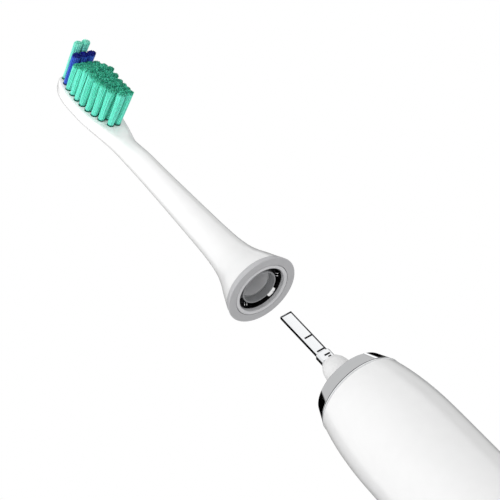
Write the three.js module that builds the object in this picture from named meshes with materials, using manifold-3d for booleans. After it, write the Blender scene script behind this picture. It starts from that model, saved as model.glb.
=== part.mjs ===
// A sonic electric toothbrush: a round upright handle with its drive, battery and electronics, and a
// push-on brush head that stands off its seat above the drive blade.
//
// Frame: millimetres, +Z up along the handle. The origin is the middle of the foot that the handle
// stands on. The bristles and the power button face -Y.

import * as THREE from "three";
import { mergeVertices, toCreasedNormals } from "three/addons/utils/BufferGeometryUtils.js";
import Module from "manifold-3d";

const wasm = await Module();
wasm.setup();

// ---------------------------------------------------------------------------------------------
// Driving dimensions, mm

// Handle
const SHELL_BOTTOM = 3.1;
const SHELL_TOP = 160.5;
const SHELL_WALL = 1.7;
const FOOT_RADIUS = 12.3;
const BELLY_RADIUS = 13.65;
const BELLY_HEIGHT = 92;
const UPPER_TAPER = 0.32; // radius lost between the belly and the start of the shoulder
const SHOULDER_START = 140;
const SHOULDER_DROP = 1.94; // radius lost over the rounded shoulder
const COLLAR_BORE = 9.6; // bore of the shell round the front cap

// Nose of the handle, with heights measured from the top of the trim ring
const RING_TOP = 165;
const RING_TOP_RADIUS = 9.13;
const RING_LIP_RADIUS = 8.2;
const BOOT_TOP = 8.1;

// Drive shaft, measured from the top of the trim ring
const SHAFT_RADIUS = 1.6;
const SHAFT_BOTTOM = -38;
const BLADE_SHOULDER = 11.55;
const BLADE_TIP = 25.7;
const BLADE_WIDTH = 3;
const BLADE_THICKNESS = 1.4;
const BLADE_EDGE = 0.5; // width of the slope along two of its edges
const EDGE_SLOPE = 30; // degrees
const BLADE_TAPER = 0.7; // height of the slope at its tip
const TIP_SLOPE = 25; // degrees
const BLADE_TURN = -20; // degrees between the blade's flat and the platform of the tufts
const BLADE_GROOVES = [11.9, 16.8];
const FOOT_HALF = 1.8;
const FOOT_SLOT = { bottom: 9.6, top: 10.1 };

// Magnetic drive, with heights measured from the bottom of its frame
const DRIVE_BASE = RING_TOP - 63.4;
const SCREW_REACH = 7.2;

// Brush head, with heights measured from its open end
const SEAT_GAP = 0.8; // between the trim ring and a seated head
const LIFT = 34.5; // how far the head stands above its seat
const HEAD_BASE = RING_TOP + SEAT_GAP + LIFT;
const HEAD_RADIUS = 9.4;
const BASE_RING_HEIGHT = 1.7;
const BEAD = 0.12; // how far the bead round the opening stands below the face
const CLIP_TABS = [31, 151, 271]; // degrees round the axis
const TAB_WIDTH = 2.4;
const HEAD_LENGTH = 87.5;
const FLAT_START = 50; // where the front begins to flatten
const PADDLE_START = 58;
const PADDLE_WIDEST = 75;
const PADDLE_HALF_WIDTH = 5.3;
const PLATFORM = 2.1; // how far the tuft platform stands in front of the axis
const TUFT_ROOT = 2.2; // how deep a tuft goes into the platform
const TUFT_RADIUS = 0.85;
const TUFT_TIP = { across: 1.3, along: 0.98 }; // half widths of a tuft's flared end
const TUFT_LEAN = 0.12; // how far a tuft leans towards the handle for each mm of its length
// The rows of tufts from the neck to the tip: height, outermost tuft, count, the free length of an
// inner tuft, and how much shorter the outer tufts are
const TUFT_ROWS = [
  { at: 64.9, reach: 1.0, count: 2, length: 10.3, crown: 0 },
  { at: 67.5, reach: 2.15, count: 3, length: 9.5, crown: 0.2 },
  { at: 69.7, reach: 2.8, count: 4, length: 9.6, crown: 0.8 },
  { at: 71.9, reach: 3.2, count: 4, length: 9.6, crown: 1.1 },
  { at: 74.3, reach: 3.4, count: 4, length: 9.9, crown: 1.1 },
  { at: 76.6, reach: 3.4, count: 4, length: 9.8, crown: 0.6 },
  { at: 78.9, reach: 3.2, count: 4, length: 8.7, crown: 0.2 },
  { at: 81.2, reach: 2.9, count: 4, length: 7.8, crown: 0 },
  { at: 83.4, reach: 2.2, count: 3, length: 9.8, crown: 0, navy: true },
  { at: 85.6, reach: 1.15, count: 2, length: 12, crown: 0 },
];

// Foot and charging socket
const SOCKET_RADIUS = 4.9;
const SOCKET_DEPTH = 14;

// Electronics
const BUTTON_HEIGHT = 91;
const BUTTON_RADIUS = 5;
const LED_HEIGHTS = [74, 69, 64, 59];
const BOARD = { bottom: 24, top: 99.5, width: 13, front: -7.9, back: -6.9 };
const CELL = { bottom: 37, top: 87, radius: 7.1, y: 2 };
const CHASSIS = { bottom: 20, top: 101.3, floor: 2.6 };

const ROUND = 32; // segments round a large circle
const SMALL = 16; // segments round a small circle

// ---------------------------------------------------------------------------------------------
// Shape helpers

// A manifold-3d solid of a closed three.js geometry, facing outwards.
function solid(geometry) {
  const bare = geometry.clone();
  bare.deleteAttribute("normal");
  bare.deleteAttribute("uv");
  const merged = mergeVertices(bare, 1e-4);
  const kept = [];
  const index = merged.index.array;
  for (let i = 0; i < index.length; i += 3) {
    const [a, b, c] = [index[i], index[i + 1], index[i + 2]];
    if (a !== b && b !== c && c !== a) kept.push(a, b, c);
  }
  const build = (triangles) =>
    new wasm.Manifold(
      new wasm.Mesh({
        numProp: 3,
        vertProperties: merged.attributes.position.array,
        triVerts: Uint32Array.from(triangles),
      }),
    );
  const made = build(kept);
  return made.volume() > 0 ? made : build(kept.reverse());
}

// The three.js geometry of a manifold-3d solid.
function geometryOf(shape) {
  const mesh = shape.getMesh();
  const geometry = new THREE.BufferGeometry();
  geometry.setAttribute("position", new THREE.BufferAttribute(Float32Array.from(mesh.vertProperties), 3));
  geometry.setIndex(new THREE.BufferAttribute(Uint32Array.from(mesh.triVerts), 1));
  return toCreasedNormals(geometry, THREE.MathUtils.degToRad(35));
}

// A solid of revolution about Z from [radius, height] pairs. A profile off the axis is closed on itself.
function revolve(profile, segments = ROUND) {
  const points = profile.map(([radius, height]) => new THREE.Vector2(radius, height));
  const first = points[0];
  if (first.x > 0) points.push(first.clone());
  return solid(new THREE.LatheGeometry(points, segments).rotateX(Math.PI / 2));
}

// A round tube or bush about Z.
function tube(inner, outer, bottom, top, segments = ROUND) {
  return revolve([[inner, bottom], [outer, bottom], [outer, top], [inner, top]], segments);
}

function rod(radius, bottom, top, segments = SMALL) {
  return revolve([[0, bottom], [radius, bottom], [radius, top], [0, top]], segments);
}

// An O-ring about Z.
function ring(radius, section, height) {
  return solid(new THREE.TorusGeometry(radius, section, 6, ROUND).translate(0, 0, height));
}

// A box from its lowest and highest corners.
function block(low, high) {
  const size = high.map((value, axis) => value - low[axis]);
  const middle = high.map((value, axis) => (value + low[axis]) / 2);
  return solid(new THREE.BoxGeometry(...size).translate(...middle));
}

// A rod along Y, from y = front to y = back.
function crossRod(radius, x, z, front, back, segments = SMALL) {
  const geometry = new THREE.CylinderGeometry(radius, radius, back - front, segments);
  return solid(geometry.translate(x, (front + back) / 2, z));
}

// A solid through closed rings of points, with the same number of points in each ring.
function loft(rings) {
  const count = rings[0].length;
  const positions = rings.flat().flatMap((point) => point.toArray());
  const index = [];
  for (let r = 0; r + 1 < rings.length; r++) {
    for (let i = 0; i < count; i++) {
      const next = (i + 1) % count;
      const [a, b, c, d] = [r * count + i, r * count + next, (r + 1) * count + next, (r + 1) * count + i];
      index.push(a, b, c, a, c, d);
    }
  }
  for (const [ringIndex, turn] of [[0, -1], [rings.length - 1, 1]]) {
    const centre = new THREE.Vector3();
    rings[ringIndex].forEach((point) => centre.addScaledVector(point, 1 / count));
    const hub = positions.length / 3;
    positions.push(...centre.toArray());
    for (let i = 0; i < count; i++) {
      const [a, b] = [ringIndex * count + i, ringIndex * count + ((i + 1) % count)];
      index.push(...(turn > 0 ? [hub, a, b] : [hub, b, a]));
    }
  }
  const geometry = new THREE.BufferGeometry();
  geometry.setAttribute("position", new THREE.Float32BufferAttribute(positions, 3));
  geometry.setIndex(index);
  return solid(geometry);
}

function steps(from, to, count) {
  return Array.from({ length: count + 1 }, (_, i) => from + ((to - from) * i) / count);
}

// ---------------------------------------------------------------------------------------------
// Handle

function handleRadius(z) {
  if (z < BELLY_HEIGHT) {
    return BELLY_RADIUS - (BELLY_RADIUS - FOOT_RADIUS) * ((BELLY_HEIGHT - z) / BELLY_HEIGHT) ** 2;
  }
  const taper = UPPER_TAPER * ((z - BELLY_HEIGHT) / (SHOULDER_START - BELLY_HEIGHT)) ** 2;
  const along = Math.max(0, (z - SHOULDER_START) / (SHELL_TOP - SHOULDER_START));
  return BELLY_RADIUS - taper - SHOULDER_DROP * along ** 2.5;
}

// A band of the handle's wall, from a depth below its surface to another.
function handleBand(outerDepth, innerDepth, bottom, top) {
  const heights = steps(bottom, top, 3);
  const outside = heights.map((z) => [handleRadius(z) - outerDepth, z]);
  const inside = heights.map((z) => [handleRadius(z) - innerDepth, z]).reverse();
  return revolve([...outside, ...inside]);
}

function handleShell() {
  const outside = [
    ...steps(SHELL_BOTTOM, SHOULDER_START, 6),
    ...steps(SHOULDER_START, SHELL_TOP, 5).slice(1),
  ].map((z) => [handleRadius(z), z]);
  const inside = [
    [COLLAR_BORE, SHELL_TOP],
    [COLLAR_BORE, SHELL_TOP - 5],
    [handleRadius(SHELL_TOP - 6) - SHELL_WALL, SHELL_TOP - 6],
    ...steps(SHOULDER_START, SHELL_BOTTOM, 3).map((z) => [handleRadius(z) - SHELL_WALL, z]),
  ];
  let shell = revolve([...outside, ...inside]);
  shell = shell.subtract(crossRod(BUTTON_RADIUS + 0.3, 0, BUTTON_HEIGHT, -20, 0, 32));
  for (const z of LED_HEIGHTS) shell = shell.subtract(crossRod(0.8, 0, z, -20, 0, 12));
  return shell;
}

function trimRing() {
  const seat = SHELL_TOP - RING_TOP;
  const shoulder = handleRadius(SHELL_TOP);
  return revolve([
    [COLLAR_BORE, seat + 0.02],
    [shoulder - 0.2, seat + 0.02],
    [shoulder, seat + 0.35],
    [10.75, -3.1],
    [10.25, -1.8],
    [9.6, -0.6],
    [RING_TOP_RADIUS, 0],
    [RING_LIP_RADIUS, 0],
    [RING_LIP_RADIUS, -1],
    [8.85, -1],
    [COLLAR_BORE, -2.4],
  ]);
}

function frontCap() {
  return revolve([
    [3.9, -12.5],
    [3.9, -6.8],
    [2.4, -6.8],
    [2.4, -1.2],
    [8.7, -1.2],
    [9.45, -2.6],
    [9.45, -6.7],
    [8.5, -6.8],
    [8.5, -8.2],
    [9.45, -8.3],
    [9.45, -10],
    [10.4, -11],
    [10.4, -14.4],
    [9.2, -14.4],
    [9.2, -12.5],
  ]);
}

// The rubber cone that seals the handle round the drive shaft, with one step part way up.
function shaftBoot() {
  return revolve(
    [
      [1.8, -1.1],
      [8, -1.1],
      [8, -0.4],
      [5.3, -0.1],
      [4.2, 0.5],
      [3.7, 1.5],
      [3.62, 2.4],
      [3.62, 3.9],
      [3.42, 4.3],
      [3.3, 5.6],
      [3.02, 6.8],
      [2.6, 7.8],
      [2.3, BOOT_TOP],
      [1.8, BOOT_TOP],
    ],
    32,
  );
}

function bottomCap() {
  const rim = handleRadius(0);
  const rimTop = SHELL_BOTTOM - 0.1;
  return revolve([
    [0, SOCKET_DEPTH],
    [SOCKET_RADIUS, SOCKET_DEPTH],
    [SOCKET_RADIUS, 0.5],
    [SOCKET_RADIUS + 0.5, 0],
    [rim - 1.6, 0],
    [rim - 0.5, 0.4],
    [handleRadius(1.5), 1.5],
    [handleRadius(rimTop), rimTop],
    [10.4, rimTop],
    [10.4, 5],
    [9.4, 5.1],
    [9.4, 6.7],
    [10.4, 6.8],
    [10.4, 9],
    [6, 9],
    [6, SOCKET_DEPTH + 1.5],
    [0, SOCKET_DEPTH + 1.5],
  ]);
}

// ---------------------------------------------------------------------------------------------
// Button and indicator

function powerButton() {
  const barrel = crossRod(BUTTON_RADIUS, 0, BUTTON_HEIGHT, -20, -8, 32);
  const skin = handleBand(-0.3, 1.3, BUTTON_HEIGHT - 8, BUTTON_HEIGHT + 8);
  return skin.intersect(barrel).add(crossRod(1.5, 0, BUTTON_HEIGHT, -12.8, -11.05, 16));
}

function buttonSeal() {
  const patch = handleBand(2.1, 2.7, BUTTON_HEIGHT - 9, BUTTON_HEIGHT + 9);
  return patch
    .intersect(crossRod(6.6, 0, BUTTON_HEIGHT, -20, -6, 32))
    .subtract(crossRod(1.8, 0, BUTTON_HEIGHT, -20, -6, 16));
}

function lightGuide() {
  const low = Math.min(...LED_HEIGHTS) - 3;
  const high = Math.max(...LED_HEIGHTS) + 3;
  let guide = handleBand(2, 3, low, high).intersect(block([-2, -20, low + 0.5], [2, -6, high - 0.5]));
  const outside = handleBand(0.05, 2.5, low, high);
  for (const z of LED_HEIGHTS) guide = guide.add(outside.intersect(crossRod(0.65, 0, z, -20, -6, 10)));
  return guide;
}

function tactSwitch() {
  const body = block([-3, -9.7, BUTTON_HEIGHT - 3], [3, BOARD.front - 0.05, BUTTON_HEIGHT + 3]);
  return body.add(crossRod(1.6, 0, BUTTON_HEIGHT, -10.35, -9, 16));
}

// ---------------------------------------------------------------------------------------------
// Chassis, board and cell

function chassis() {
  const { bottom, top, floor } = CHASSIS;
  const open = (front) => block([-12, -12, 0], [12, front, top + 5]);
  let tray = tube(9.4, 10.5, bottom, top).subtract(open(-3.2));
  for (const z of [bottom, CELL.bottom - floor - 0.8, CELL.top + 1.6, top - floor]) {
    tray = tray.add(rod(9.8, z, z + floor, ROUND).subtract(open(-5.4)));
  }
  return tray;
}

function circuitBoard() {
  const half = BOARD.width / 2;
  const board = block([-half, BOARD.front, BOARD.bottom], [half, BOARD.back, BOARD.top]);
  const notch = (x) => crossRod(1, x, BOARD.bottom + 8, -10, 0, 12);
  return board.subtract(notch(-half)).subtract(notch(half));
}

// A part soldered to the back or the front of the board.
function chip(width, height, thickness, x, z, front = false) {
  const near = front ? BOARD.front - 0.05 - thickness : BOARD.back + 0.05;
  return block([x - width / 2, near, z - height / 2], [x + width / 2, near + thickness, z + height / 2]);
}

function batteryCell() {
  const neck = CELL.radius - 0.5;
  return revolve(
    [
      [0, CELL.bottom],
      [neck, CELL.bottom],
      [CELL.radius, CELL.bottom + 0.5],
      [CELL.radius, CELL.top - 1.6],
      [neck, CELL.top - 1],
      [3, CELL.top - 1],
      [3, CELL.top],
      [0, CELL.top],
    ],
    32,
  ).translate([0, CELL.y, 0]);
}

function cellTab(bottom) {
  const strip = block([-2.5, -5.9, bottom], [2.5, CELL.y + 3, bottom + 0.3]);
  return strip.add(block([-2.5, -6.2, bottom], [2.5, -5.85, bottom + 3]));
}

// ---------------------------------------------------------------------------------------------
// Charging coil

function coilFormer() {
  return revolve([
    [6.15, 9.3], [9.5, 9.3], [9.5, 10.1], [6.9, 10.1], [6.9, 17.1], [9.5, 17.1], [9.5, 18], [6.15, 18],
  ]);
}

// ---------------------------------------------------------------------------------------------
// Magnetic drive

function driveShaft() {
  const [wide, thick] = [BLADE_WIDTH / 2, BLADE_THICKNESS / 2];
  let flat = block([-wide, -thick, BLADE_SHOULDER - 1], [wide, thick, BLADE_TIP]);
  const edge = block([-0.8, -1, 0], [0.8, 0, 40]).rotate([0, 0, EDGE_SLOPE]);
  const tip = block([-3, -1, -1], [3, 0, 1]).rotate([-TIP_SLOPE, 0, 0]);
  const slopes = edge
    .translate([wide - BLADE_EDGE, -thick, 0])
    .add(tip.translate([0, -thick, BLADE_TIP - BLADE_TAPER]));
  for (const turn of [0, 180]) flat = flat.subtract(slopes.rotate([0, 0, turn]));
  flat = flat.add(block([-FOOT_HALF, -1, BOOT_TOP + 0.2], [FOOT_HALF, 1, BLADE_SHOULDER]));
  for (const z of BLADE_GROOVES) flat = flat.subtract(block([-0.95, -2, z - 0.25], [2, -0.4, z + 0.25]));
  flat = flat.subtract(block([-0.35, -2, FOOT_SLOT.bottom], [1.15, -0.6, FOOT_SLOT.top]));
  return rod(SHAFT_RADIUS, SHAFT_BOTTOM, BOOT_TOP + 0.4).add(flat.rotate([0, 0, BLADE_TURN]));
}

function armature() {
  const plate = block([-8.4, -4, 27.4], [8.4, 4, 29.4]);
  return plate.add(rod(3.2, 26.4, 33.4)).subtract(rod(SHAFT_RADIUS + 0.05, 20, 36));
}

function magnet(side) {
  return block([side * 5.6 - 1.6, -3.2, 24.1], [side * 5.6 + 1.6, 3.2, 27.35]);
}

function statorCore() {
  const depth = 4.2;
  let core = block([-8.4, -depth, 3.4], [8.4, depth, 6.9]);
  for (const [left, right] of [[-8.4, -5.9], [-1.6, 1.6], [5.9, 8.4]]) {
    core = core.add(block([left, -depth, 6.4], [right, depth, 23.2]));
  }
  return core;
}

function coilBobbin() {
  const flange = (bottom) => block([-5.6, -6, bottom], [5.6, 6, bottom + 0.8]);
  const sleeve = block([-2.3, -4.9, 7.2], [2.3, 4.9, 22]);
  return flange(7.2).add(flange(21.2)).add(sleeve).subtract(block([-1.7, -4.3, 5], [1.7, 4.3, 25]));
}

function statorCoil() {
  return block([-5.2, -5.8, 8.2], [5.2, 5.8, 21]).subtract(block([-2.5, -5.1, 5], [2.5, 5.1, 25]));
}

function driveFrame() {
  const rail = (side) => block([-3.8, side > 0 ? 6.4 : -8.4, 1.4], [3.8, side > 0 ? 8.4 : -6.4, 43.4]);
  return rod(9.4, 0, 2.8, ROUND).add(rail(1)).add(rail(-1)).add(tube(5, 9.4, 41.4, 45));
}

// The fixed end of the torsion spring, screwed to the top of the frame.
function torsionAnchor() {
  const hole = (x) => rod(1, 40, 52, 12).translate([x, 0, 0]);
  return tube(2, 9, 45.1, 48.6).subtract(hole(-SCREW_REACH)).subtract(hole(SCREW_REACH));
}

function frameScrew(side) {
  const head = revolve([[0, 48.7], [1.8, 48.7], [1.8, 50], [1.2, 50.5], [0, 50.5]], 16);
  return rod(0.9, 45.05, 48.8, 12).add(head).translate([side * SCREW_REACH, 0, 0]);
}

// ---------------------------------------------------------------------------------------------
// Brush head, in its own frame: z = 0 at the open end

const NECK = new THREE.SplineCurve(
  [[9.4, 0], [7.45, 4.9], [5.8, 8.9], [4.8, 13], [4.15, 20], [3.5, 36], [3.15, 47], [3.02, 58]].map(
    ([radius, z]) => new THREE.Vector2(radius, z),
  ),
);

function neckRadius(z) {
  let [low, high] = [0, 1];
  for (let i = 0; i < 30; i++) {
    const middle = (low + high) / 2;
    if (NECK.getPoint(middle).y < z) low = middle;
    else high = middle;
  }
  return NECK.getPoint(low).x;
}

// Half width, front and back of the head's section at a height, and how square its front is.
function headSection(z) {
  const smooth = (t) => THREE.MathUtils.smoothstep(t, 0, 1);
  const flattened = smooth((z - FLAT_START) / 10);
  if (z <= PADDLE_START) {
    const radius = neckRadius(z);
    const front = THREE.MathUtils.lerp(radius, PLATFORM, flattened);
    return { half: radius, front, back: radius, square: 2 };
  }
  const start = neckRadius(PADDLE_START);
  const opened = smooth((z - PADDLE_START) / (PADDLE_WIDEST - PADDLE_START - 2));
  const end = Math.max(0, (z - PADDLE_WIDEST) / (HEAD_LENGTH - PADDLE_WIDEST));
  const closed = Math.sqrt(Math.max(0, 1 - end ** 2.4));
  const rounded = Math.sqrt(Math.max(0, 1 - Math.max(0, (z - HEAD_LENGTH + 3) / 3) ** 2));
  return {
    half: THREE.MathUtils.lerp(start, PADDLE_HALF_WIDTH, opened) * closed,
    front: THREE.MathUtils.lerp(start, PLATFORM, flattened) * (0.35 + 0.65 * rounded),
    back: THREE.MathUtils.lerp(start, 2.5, opened) * (0.3 + 0.7 * rounded),
    square: THREE.MathUtils.lerp(2, 7, smooth((z - PADDLE_START) / 7)),
  };
}

function headRing(z, points = 28) {
  const { half, front, back, square } = headSection(z);
  return Array.from({ length: points }, (_, i) => {
    const angle = (2 * Math.PI * i) / points;
    const [c, s] = [Math.cos(angle), Math.sin(angle)];
    const power = s < 0 ? square : 2.2;
    const reach = (Math.abs(c) ** power + Math.abs(s) ** power) ** (-1 / power);
    return new THREE.Vector3(half * c * reach, (s < 0 ? front : back) * s * reach, z);
  });
}

function brushNeck() {
  const heights = [
    ...steps(BASE_RING_HEIGHT, 13, 5),
    ...steps(13, PADDLE_START, 5).slice(1),
    ...steps(PADDLE_START, PADDLE_WIDEST, 6).slice(1),
    ...steps(PADDLE_WIDEST, HEAD_LENGTH - 1, 6).slice(1),
    HEAD_LENGTH - 0.35,
    HEAD_LENGTH - 0.03,
  ];
  const socket = revolve(
    [[0, -1], [6.3, -1], [6.3, 3.5], [4.75, 4.3], [4.75, 8.9], [3.05, 9.2], [3.05, 26.4], [0, 26.4]],
    32,
  );
  let neck = loft(heights.map((z) => headRing(z))).subtract(socket);
  for (const row of TUFT_ROWS) {
    for (const x of tuftPlaces(row)) {
      const hole = crossRod(TUFT_RADIUS + 0.06, x, row.at, -PLATFORM - 1, -PLATFORM + TUFT_ROOT + 0.3, 8);
      neck = neck.subtract(hole);
    }
  }
  return neck;
}

function tuftPlaces({ reach, count }) {
  return steps(-reach, reach, count - 1);
}

// A row of flared tufts, whose ends meet.
function tuftRow(row) {
  const section = (x, depth, across, along) =>
    Array.from({ length: 8 }, (_, i) => {
      const angle = (2 * Math.PI * i) / 8;
      const z = row.at - TUFT_LEAN * Math.max(0, depth) + along * Math.sin(angle);
      return new THREE.Vector3(x + across * Math.cos(angle), -PLATFORM - depth, z);
    });
  const tufts = tuftPlaces(row).map((x) =>
    loft([
      section(x, -TUFT_ROOT, TUFT_RADIUS, TUFT_RADIUS),
      section(x, 0, TUFT_RADIUS, TUFT_RADIUS),
      section(x, row.length - row.crown * (x / row.reach) ** 2, TUFT_TIP.across, TUFT_TIP.along),
    ]),
  );
  return tufts.reduce((joined, tuft) => joined.add(tuft));
}

// The grey collar: a flat face with a raised bead round its opening.
function baseRing() {
  return revolve([
    [7.2, 0],
    [HEAD_RADIUS - 0.2, 0],
    [HEAD_RADIUS, 0.2],
    [neckRadius(BASE_RING_HEIGHT) + 0.02, BASE_RING_HEIGHT - 0.05],
    [6.26, BASE_RING_HEIGHT - 0.05],
    [6.26, 0.1],
    [6.5, -BEAD],
    [6.9, -BEAD],
    [7.15, 0],
  ]);
}

// A spring ring folded to an L, with sprung tabs that lean in and down from its wall.
function clipRing() {
  const folded = [[6.02, 1], [6.2, 1], [6.2, 3.4], [4.75, 3.4], [4.75, 3.2], [6.02, 3.2]];
  const corners = [[6.05, 1.2], [6.05, 2.5], [5.3, 2.1]].map(([r, z]) => new THREE.Vector2(r, z));
  const lean = new THREE.Shape(corners);
  const wedge = new THREE.ExtrudeGeometry(lean, { depth: TAB_WIDTH, bevelEnabled: false });
  const tab = solid(wedge.rotateX(Math.PI / 2).translate(0, TAB_WIDTH / 2, 0));
  return CLIP_TABS.reduce((clip, angle) => clip.add(tab.rotate([0, 0, angle])), revolve(folded, 36));
}

function socketInsert() {
  const body = revolve(
    [
      [0, 11],
      [2.25, 11],
      [2.25, 9.2],
      [3, 8.9],
      [3.8, 7.9],
      [3.86, 2.9],
      [4.3, 2.9],
      [4.3, 1.1],
      [4.62, 1.1],
      [4.62, 8.8],
      [2.9, 9.1],
      [2.9, 26],
      [0, 26],
    ],
    32,
  );
  const slot = block([-1.7, -0.85, 10], [1.7, 0.85, 25.6]);
  const pocket = block([-1.1, 0.8, 10], [1.1, 1.2, 22.6]);
  return body.subtract(slot.add(pocket).rotate([0, 0, BLADE_TURN]));
}

function gripSpring() {
  return block([-0.95, 0.82, 11.2], [0.95, 1.1, 22.2]).rotate([0, 0, BLADE_TURN]);
}

// ---------------------------------------------------------------------------------------------
// Assembly

function finish(colour, roughness, metalness = 0) {
  return new THREE.MeshStandardMaterial({ color: colour, roughness, metalness });
}

const FINISHES = {
  white: finish(0xf4f5f6, 0.25),
  grey: finish(0xa9a9ae, 0.45),
  rubber: finish(0xeeeeee, 0.7),
  chrome: finish(0xd8dadc, 0.06, 1),
  steel: finish(0xc8cacc, 0.2, 1),
  blued: finish(0x2a2b2e, 0.15, 1),
  bronze: finish(0xa67c45, 0.4, 1),
  copper: finish(0xb4652f, 0.35, 1),
  iron: finish(0x55585c, 0.5, 1),
  magnet: finish(0xb9bcc0, 0.3, 1),
  black: finish(0x1b1c1e, 0.6),
  natural: finish(0xd9d6cc, 0.6),
  board: finish(0x1d5b3a, 0.5),
  sleeve: finish(0x2b6fb0, 0.4),
  clear: finish(0xdfe6ea, 0.2),
  mint: finish(0x4fd9b8, 0.4),
  navy: finish(0x14207f, 0.4),
};

const toothbrush = new THREE.Group();

function groupAt(height) {
  const group = new THREE.Group();
  group.position.z = height;
  toothbrush.add(group);
  return group;
}

function place(group, name, shape, colour) {
  const mesh = new THREE.Mesh(geometryOf(shape), FINISHES[colour]);
  mesh.name = name;
  group.add(mesh);
}

const handle = groupAt(0);
place(handle, "handle_shell", handleShell(), "white");
place(handle, "bottom_cap", bottomCap(), "white");
place(handle, "bottom_cap_seal", ring(10.1, 0.65, 5.9), "black");
place(handle, "power_button", powerButton(), "rubber");
place(handle, "button_seal", buttonSeal(), "black");
place(handle, "light_guide", lightGuide(), "clear");
place(handle, "tact_switch", tactSwitch(), "black");
LED_HEIGHTS.forEach((z, i) => place(handle, `mode_led_${i + 1}`, chip(1.6, 0.9, 0.8, 0, z, true), "clear"));
place(handle, "chassis", chassis(), "natural");
place(handle, "circuit_board", circuitBoard(), "board");
place(handle, "controller_chip", chip(6, 6, 1, 0, 76), "black");
place(handle, "driver_chip", chip(5, 4, 1.2, -2, 94.6), "black");
place(handle, "charger_chip", chip(4, 4, 1, 1, 29), "black");
place(handle, "board_capacitor", chip(3, 6.4, 1.4, 3.4, 55), "sleeve");
place(handle, "battery_cell", batteryCell(), "sleeve");
place(handle, "cell_tab_bottom", cellTab(CELL.bottom - 0.4), "steel");
place(handle, "cell_tab_top", cellTab(CELL.top + 0.1), "steel");
place(handle, "charging_coil", tube(7, 9.3, 10.2, 17), "copper");
place(handle, "coil_former", coilFormer(), "natural");

const nose = groupAt(RING_TOP);
place(nose, "trim_ring", trimRing(), "chrome");
place(nose, "front_cap", frontCap(), "white");
place(nose, "front_cap_seal", ring(9.05, 0.45, -7.5), "black");
place(nose, "front_bearing", tube(SHAFT_RADIUS + 0.08, 3.8, -12.2, -7, SMALL), "bronze");
place(nose, "shaft_boot", shaftBoot(), "rubber");
place(nose, "drive_shaft", driveShaft(), "steel");

const drive = groupAt(DRIVE_BASE);
place(drive, "drive_frame", driveFrame(), "natural");
place(drive, "stator_core", statorCore(), "iron");
place(drive, "stator_coil", statorCoil(), "copper");
place(drive, "coil_bobbin", coilBobbin(), "black");
place(drive, "armature", armature(), "iron");
place(drive, "magnet_left", magnet(-1), "magnet");
place(drive, "magnet_right", magnet(1), "magnet");
place(drive, "torsion_spring", tube(SHAFT_RADIUS + 0.1, 2.7, 33.5, 44.9, SMALL), "steel");
place(drive, "torsion_anchor", torsionAnchor(), "iron");
place(drive, "anchor_screw_left", frameScrew(-1), "steel");
place(drive, "anchor_screw_right", frameScrew(1), "steel");

const brushHead = groupAt(HEAD_BASE);
place(brushHead, "brush_neck", brushNeck(), "white");
place(brushHead, "base_ring", baseRing(), "grey");
place(brushHead, "clip_ring", clipRing(), "blued");
place(brushHead, "socket_insert", socketInsert(), "grey");
place(brushHead, "grip_spring", gripSpring(), "steel");
TUFT_ROWS.forEach((row, i) => {
  const name = `tuft_row_${String(i + 1).padStart(2, "0")}`;
  place(brushHead, name, tuftRow(row), row.navy ? "navy" : "mint");
});

export default toothbrush;
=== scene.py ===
"""A sonic electric toothbrush with its brush head standing off its seat.

Every size inside a piece is in millimetres in this file and becomes metres when its mesh is made.
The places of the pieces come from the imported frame.
"""

import math
import random

import bmesh
import bpy
from mathutils import Matrix, Vector

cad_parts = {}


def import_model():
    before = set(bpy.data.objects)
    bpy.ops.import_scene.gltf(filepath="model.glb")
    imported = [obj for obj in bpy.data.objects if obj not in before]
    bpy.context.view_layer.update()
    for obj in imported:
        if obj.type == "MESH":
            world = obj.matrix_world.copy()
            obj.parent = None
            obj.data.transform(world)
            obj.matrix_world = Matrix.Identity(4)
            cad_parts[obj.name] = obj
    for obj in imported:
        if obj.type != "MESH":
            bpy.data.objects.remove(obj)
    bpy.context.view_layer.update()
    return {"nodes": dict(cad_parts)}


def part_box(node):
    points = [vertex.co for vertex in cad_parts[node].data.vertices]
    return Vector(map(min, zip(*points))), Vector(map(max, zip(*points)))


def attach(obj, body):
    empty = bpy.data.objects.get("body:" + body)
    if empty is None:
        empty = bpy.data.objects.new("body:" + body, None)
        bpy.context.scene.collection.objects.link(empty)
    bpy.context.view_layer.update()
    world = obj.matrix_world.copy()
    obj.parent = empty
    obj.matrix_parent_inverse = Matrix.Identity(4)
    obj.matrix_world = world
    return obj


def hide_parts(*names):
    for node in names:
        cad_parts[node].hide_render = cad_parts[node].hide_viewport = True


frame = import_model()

MM = 0.001

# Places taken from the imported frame, mm
RING_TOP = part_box("trim_ring")[1].z / MM
SHELL_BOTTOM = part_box("handle_shell")[0].z / MM
SHELL_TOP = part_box("handle_shell")[1].z / MM
HEAD_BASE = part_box("base_ring")[0].z / MM
HEAD_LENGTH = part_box("brush_neck")[1].z / MM - HEAD_BASE
SHAFT_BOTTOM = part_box("drive_shaft")[0].z / MM - RING_TOP
BLADE_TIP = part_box("drive_shaft")[1].z / MM - RING_TOP
BUTTON_MIDDLE = (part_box("power_button")[0].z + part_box("power_button")[1].z) / 2 / MM
LED_HEIGHTS = [
    (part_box(f"mode_led_{i}")[0].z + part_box(f"mode_led_{i}")[1].z) / 2 / MM for i in range(1, 5)
]

# Handle
SHELL_WALL = 1.7
FOOT_RADIUS = 12.3
BELLY_RADIUS = 13.65
BELLY_HEIGHT = 92
UPPER_TAPER = 0.32
SHOULDER_START = 140
SHOULDER_DROP = 1.94
COLLAR_BORE = 9.6
BUTTON_RADIUS = 5
BUTTON_GAP = 0.22
LED_WINDOW_RADIUS = 0.8
SOCKET_RADIUS = 4.9
SOCKET_DEPTH = 14

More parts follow.
